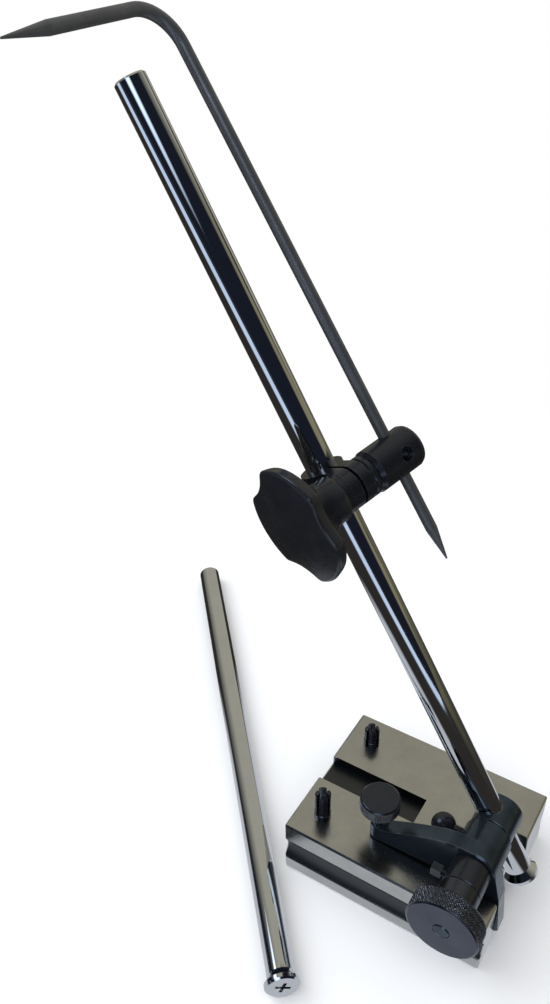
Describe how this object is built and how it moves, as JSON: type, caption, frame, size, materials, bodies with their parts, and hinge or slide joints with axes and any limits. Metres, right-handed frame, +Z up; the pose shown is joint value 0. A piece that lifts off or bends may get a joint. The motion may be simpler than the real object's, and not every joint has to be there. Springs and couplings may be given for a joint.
{
  "type": "surface gauge",
  "caption": "Surface gauge: slotted steel base with a sprung rocker, a leaning spindle held by a knurled nut, and a sliding clamp with a bent scriber; a shorter spindle lies beside it.",
  "frame": {"origin": "centre of the base's underside", "axes": "+Z up from the surface it stands on, +X to the slotted nose end, -Y to the side with the knurled clamp nut"},
  "size_m": [0.2171, 0.1778, 0.2952],
  "materials": {
    "ground_steel": "ground and lightly polished",
    "polished_steel": "polished",
    "blued_steel": "polished, blue-grey",
    "black_oxide": "black oxide, satin",
    "dark_steel": "hardened, dark grey",
    "black_plastic": "glossy",
    "brass": "turned"
  },
  "bodies": {
    "base_body": {"base": "ground_steel", "rocker_pivot_pin": "ground_steel", "pivot_spacer": "ground_steel", "pivot_retaining_ring": "black_oxide", "rocker_spring": "ground_steel", "spring_plunger": "ground_steel"},
    "near_pin": {"gauge_pin_near": "black_oxide"},
    "far_pin": {"gauge_pin_far": "black_oxide"},
    "rocker_arm": {"rocker": "blued_steel", "clamp_collar": "black_oxide"},
    "fine_screw": {"adjusting_screw": "ground_steel", "adjusting_knob": "black_oxide"},
    "ball_screw": {"ball_lock_screw": "polished_steel"},
    "collar_screw": {"collar_lock_screw": "black_oxide"},
    "swivel_head": {"swivel_bolt": "black_oxide"},
    "nut": {"clamp_nut": "blued_steel"},
    "end_screw": {"long_spindle_end_screw": "polished_steel"},
    "spindle": {"long_spindle": "polished_steel"},
    "sliding_clamp": {"clamp_block": "black_oxide", "clamp_washer": "ground_steel", "clamp_ring": "black_oxide"},
    "barrel": {"scriber_barrel": "black_oxide", "draw_bolt": "ground_steel"},
    "clamp_knob": {"knob": "black_plastic", "knob_insert": "brass"},
    "scriber_rod": {"scriber": "dark_steel"},
    "spare": {"spare_spindle": "polished_steel", "spare_spindle_end_screw": "polished_steel"}
  },
  "joints": [
    {"name": "near_pin_slide", "type": "slide", "parent": "base_body", "child": "near_pin", "axis": [0, 0, -1], "range_m": [0, 0.0107]},
    {"name": "far_pin_slide", "type": "slide", "parent": "base_body", "child": "far_pin", "axis": [0, 0, -1], "range_m": [0, 0.0064]},
    {"name": "rocker_tilt", "type": "hinge", "parent": "base_body", "child": "rocker_arm", "pos_m": [0.03, -0.017, 0.014], "axis": [0, 1, 0], "range_deg": [0, 5]},
    {"name": "fine_screw_slide", "type": "slide", "parent": "rocker_arm", "child": "fine_screw", "axis": [0, 0, -1], "range_m": [0, 0.0034]},
    {"name": "ball_screw_turn", "type": "hinge", "parent": "rocker_arm", "child": "ball_screw", "pos_m": [0.0134, -0.0085, 0.0365], "axis": [1, 0, 0], "range_deg": [-360, 0]},
    {"name": "collar_screw_turn", "type": "hinge", "parent": "rocker_arm", "child": "collar_screw", "pos_m": [0.0191, -0.027, 0.037], "axis": [-1, 0, 0], "range_deg": [0, 360]},
    {"name": "spindle_swivel", "type": "hinge", "parent": "rocker_arm", "child": "swivel_head", "pos_m": [0.0291, 0.00315, 0.036], "axis": [0, 1, 0], "range_deg": [-20, 30]},
    {"name": "nut_turn", "type": "hinge", "parent": "swivel_head", "child": "nut", "pos_m": [0.0291, -0.043, 0.036], "axis": [0, -1, 0], "range_deg": [0, 360]},
    {"name": "spindle_slide", "type": "slide", "parent": "swivel_head", "child": "end_screw", "axis": [-0.5045, 0, 0.8634], "range_m": [-0.009, 0.01]},
    {"name": "spindle_turn", "type": "hinge", "parent": "end_screw", "child": "spindle", "pos_m": [0.0291, 0.00315, 0.036], "axis": [-0.5045, 0, 0.8634], "range_deg": [-180, 180]},
    {"name": "clamp_slide", "type": "slide", "parent": "spindle", "child": "sliding_clamp", "axis": [-0.5045, 0, 0.8634], "range_m": [-0.006, 0.126]},
    {"name": "barrel_turn", "type": "hinge", "parent": "sliding_clamp", "child": "barrel", "pos_m": [-0.0338, -0.00092, 0.1658], "axis": [0.2953, 0.9397, 0.1726], "range_deg": [-40, 40]},
    {"name": "knob_turn", "type": "hinge", "parent": "barrel", "child": "clamp_knob", "pos_m": [-0.0338, -0.00092, 0.1658], "axis": [-0.2953, -0.9397, -0.1726], "range_deg": [0, 360]},
    {"name": "scriber_slide", "type": "slide", "parent": "barrel", "child": "scriber_rod", "axis": [-0.5572, 0.0227, 0.8301], "range_m": [-0.005, 0.02]},
    {"name": "spare_lift", "type": "slide", "parent": "base_body", "child": "spare", "axis": [0, 0, 1], "range_m": [0, 0.1]}
  ],
  "couplings": [
    {"joint": "fine_screw_slide", "follows": "rocker_tilt", "m_per_rad": 0.0386}
  ]
}
